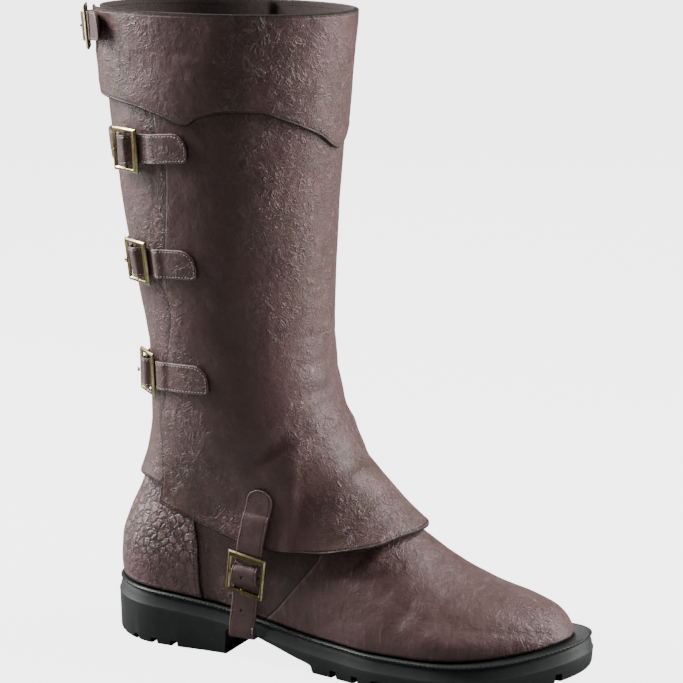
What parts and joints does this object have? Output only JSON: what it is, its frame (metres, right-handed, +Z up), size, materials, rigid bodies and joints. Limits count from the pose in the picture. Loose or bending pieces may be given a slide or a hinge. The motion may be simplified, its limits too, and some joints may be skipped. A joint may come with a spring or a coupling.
{
  "type": "buckled gaiter boot",
  "caption": "Tall brown leather-look boot: a lugged ankle boot under a removable wrap gaiter with side straps, brass buckles and a stirrup strap under the arch.",
  "frame": {"origin": "on the floor under the middle of the heel block", "axes": "+X towards the toe, +Y towards the inner (medial) side of this right boot, +Z up the shaft"},
  "size_m": [0.3209, 0.1159, 0.3862],
  "materials": {
    "brown_leather": "satin, crackled emboss",
    "lining_cloth": "matte",
    "sole_rubber": "matte",
    "antique_brass": "antique, satin",
    "zip_metal": "satin",
    "zip_tape": "matte"
  },
  "bodies": {
    "boot": {"outsole": "sole_rubber", "insole": "lining_cloth", "upper": "brown_leather", "counter": "brown_leather", "zip_tape": "zip_tape", "zip_slider": "zip_metal", "gaiter_front": "brown_leather", "gaiter_back": "brown_leather", "cuff": "brown_leather", "strap_1": "brown_leather", "strap_2": "brown_leather", "strap_3": "brown_leather", "strap_4": "brown_leather", "tab_1": "brown_leather", "tab_2": "brown_leather", "tab_3": "brown_leather", "tab_4": "brown_leather", "buckle_1": "antique_brass", "buckle_2": "antique_brass", "buckle_3": "antique_brass", "buckle_4": "antique_brass", "prong_1": "antique_brass", "prong_2": "antique_brass", "prong_3": "antique_brass", "prong_4": "antique_brass", "stirrup_strap": "brown_leather", "stirrup_tab": "brown_leather", "stirrup_buckle": "antique_brass", "stirrup_prong": "antique_brass"},
    "pull": {"zip_pull": "zip_metal"}
  },
  "joints": [
    {"name": "pull_hinge", "type": "hinge", "parent": "boot", "child": "pull", "pos_m": [0.03174, 0.04219, 0.14405], "axis": [0.9987, 0.0433, -0.0251], "range_deg": [0, 4]}
  ]
}
